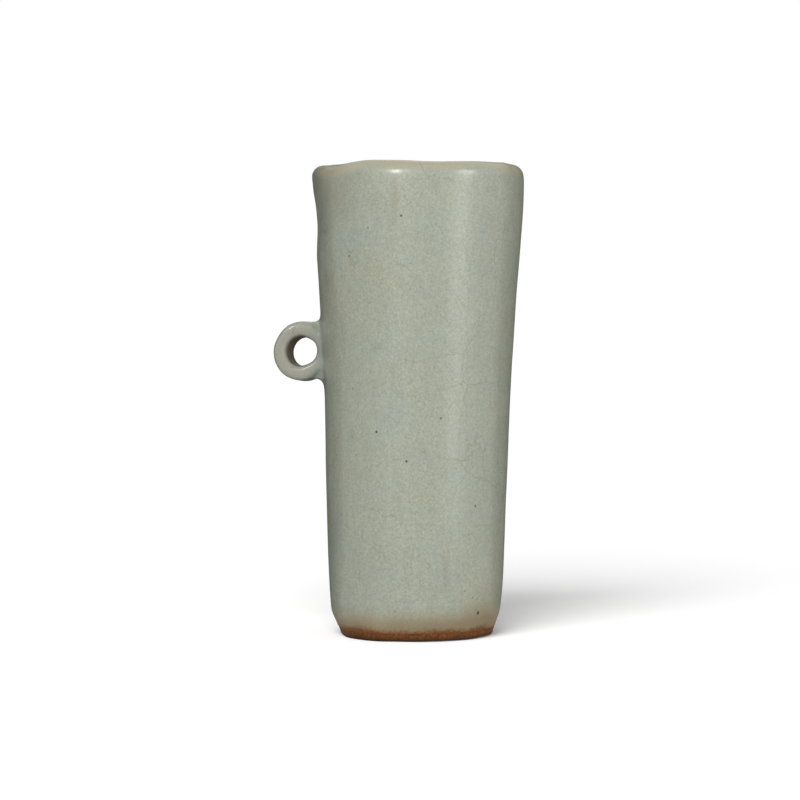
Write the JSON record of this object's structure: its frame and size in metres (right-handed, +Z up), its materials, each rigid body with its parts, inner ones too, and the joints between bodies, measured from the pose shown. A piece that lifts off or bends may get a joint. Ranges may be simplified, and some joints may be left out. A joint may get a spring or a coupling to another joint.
{
  "type": "bird feeder cup",
  "caption": "Tall tubular stoneware feeder cup with a grey-green celadon glaze, a rolled lip, a trimmed bare-clay foot and a ring handle on its side for tying it to a cage.",
  "frame": {"origin": "centre of the flat foot that the cup stands on", "axes": "+Z up to the mouth, -X towards the ring handle, -Y towards the front"},
  "size_m": [0.0471, 0.0408, 0.09],
  "materials": {
    "clay": "bare fired stoneware, matt, burnt orange-brown",
    "glaze": "grey-green celadon, semi-gloss, faintly pitted and crackled"
  },
  "bodies": {
    "root": {"thrown_body": "clay", "ring_loop": "clay", "upper_slip_joint": "clay", "lower_slip_joint": "clay", "outer_glaze": "glaze", "inner_glaze": "glaze", "ring_glaze": "glaze"}
  },
  "joints": []
}
